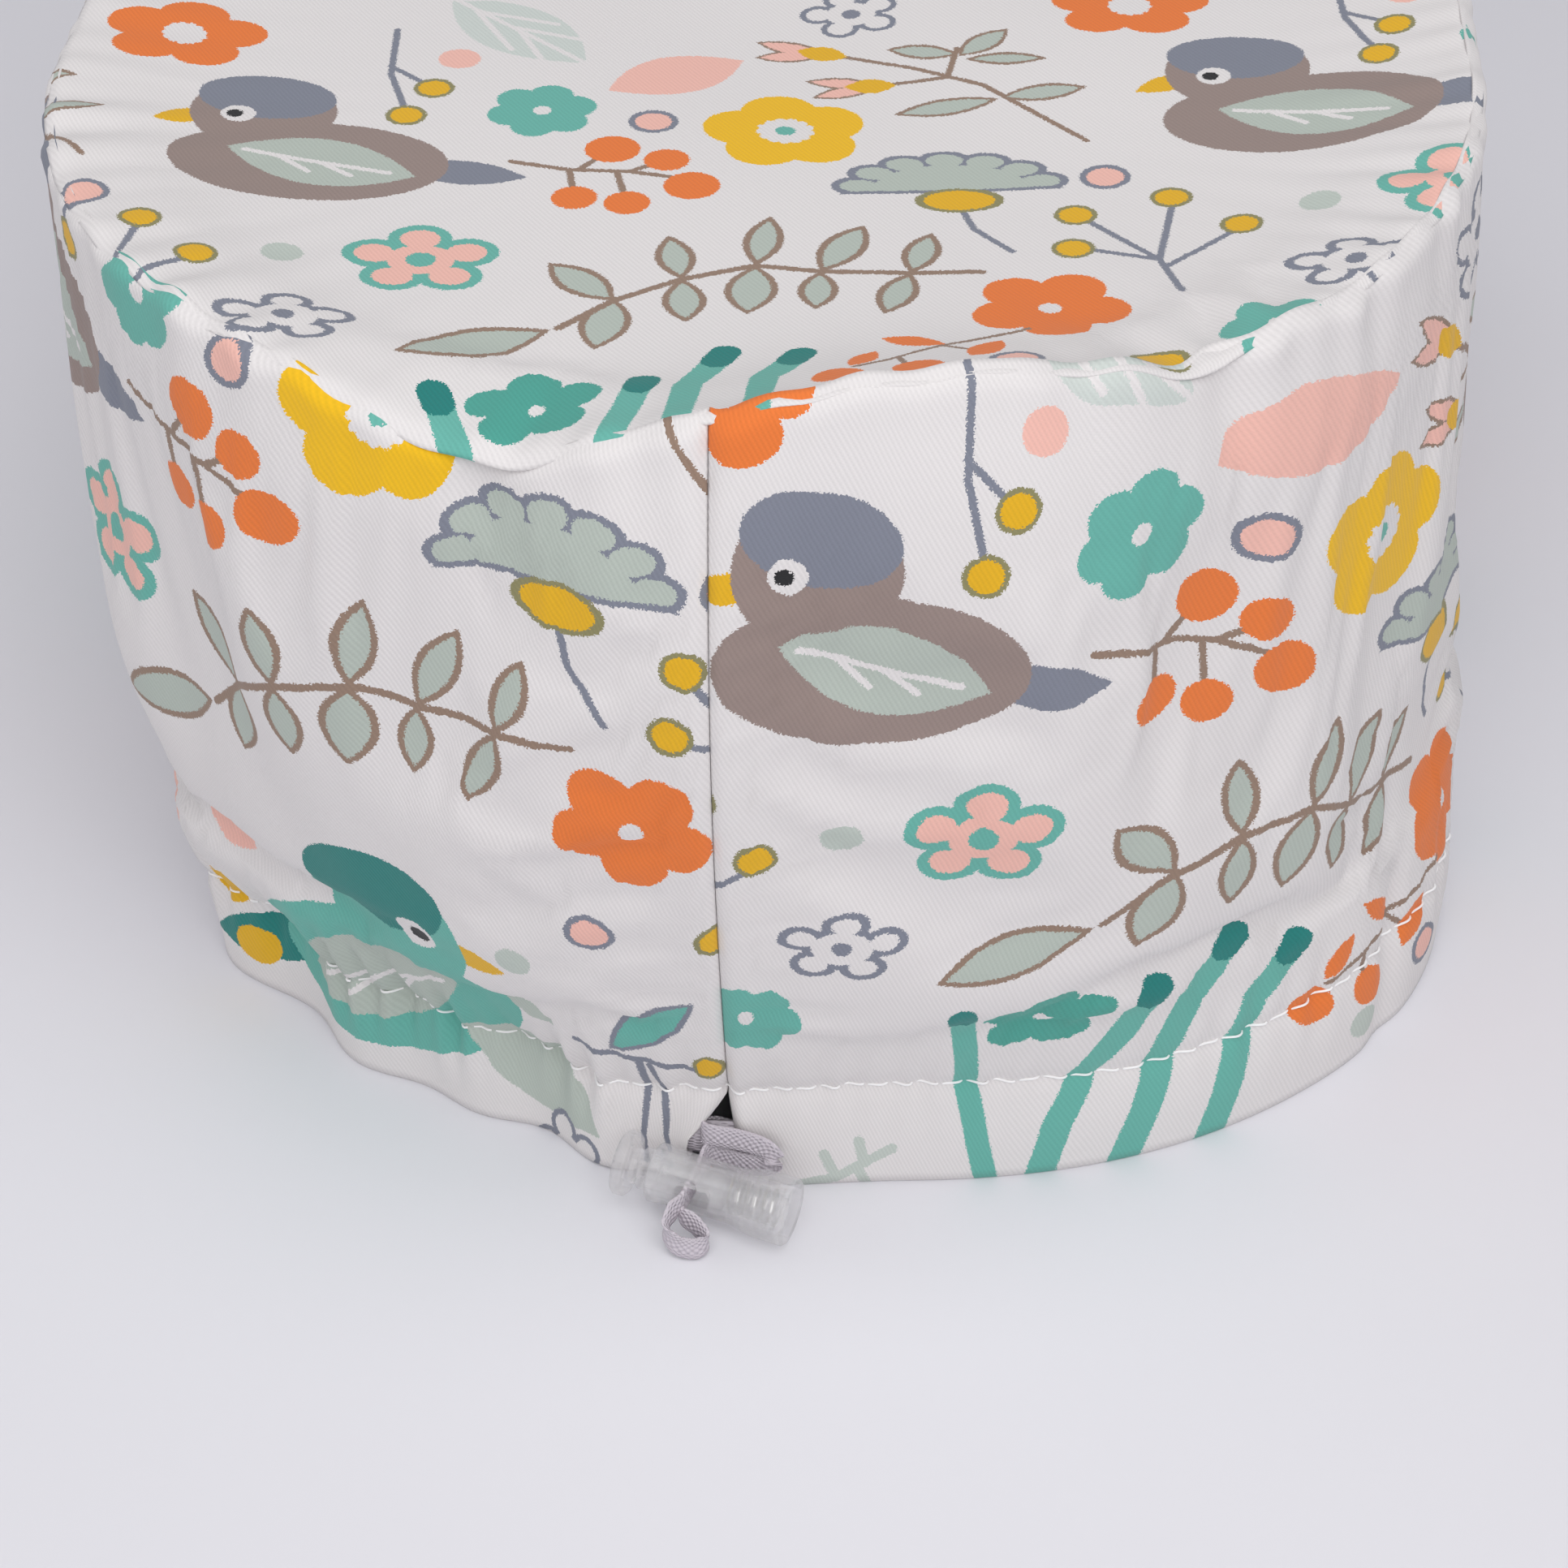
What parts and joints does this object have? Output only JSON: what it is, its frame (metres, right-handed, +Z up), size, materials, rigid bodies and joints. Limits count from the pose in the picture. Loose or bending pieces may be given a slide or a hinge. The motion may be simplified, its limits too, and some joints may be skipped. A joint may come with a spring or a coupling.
{
  "type": "scrub cap",
  "caption": "Soft cloth head cap with an oval crown, a gathered side wall and an elastic in the hem, drawn tight by a small sprung cord lock at the back.",
  "frame": {"origin": "middle of the cap's own box, on the surface that its hem stands on, the cord lock and the free elastic left out", "axes": "+Z up, +Y towards the centre front, so the centre-back seam and the cord lock are on the -Y side, +X to the right seen from the back"},
  "size_m": [0.1798, 0.2634, 0.118],
  "materials": {
    "printed_cotton": "2/1 cotton twill with a small scattered print of flowers, leaves and berries",
    "cotton_tape": "overlocked cotton edge",
    "towelling": "soft looped cotton",
    "woven_elastic": "flat braided elastic, ribbed along its length",
    "polyester_thread": "white spun thread",
    "clear_plastic": "clear injection moulded, glossy",
    "spring_steel": "bright drawn wire"
  },
  "bodies": {
    "cap": {"crown_panel": "printed_cotton", "side_panel_left": "printed_cotton", "side_panel_right": "printed_cotton", "crown_seam_binding": "cotton_tape", "back_seam_binding": "cotton_tape", "front_seam_binding": "cotton_tape", "sweatband": "towelling", "hem_thread": "polyester_thread", "casing_elastic": "woven_elastic"},
    "cord_lock": {"cord_lock_barrel": "clear_plastic", "cord_lock_spring": "spring_steel", "elastic_loop": "woven_elastic"},
    "push_button": {"cord_lock_plunger": "clear_plastic"}
  },
  "joints": [
    {"name": "cord_lock_slide", "type": "slide", "parent": "cap", "child": "cord_lock", "axis": [-0.2796, -0.9601, 0], "range_m": [0, 0.02], "deforming": ["elastic_loop"]},
    {"name": "plunger_press", "type": "slide", "parent": "cord_lock", "child": "push_button", "axis": [0.9578, -0.2789, -0.0697], "range_m": [0, 0.0022], "stiffness_N_per_m": 400, "springref_m": -0.001, "deforming": ["cord_lock_spring"]}
  ]
}
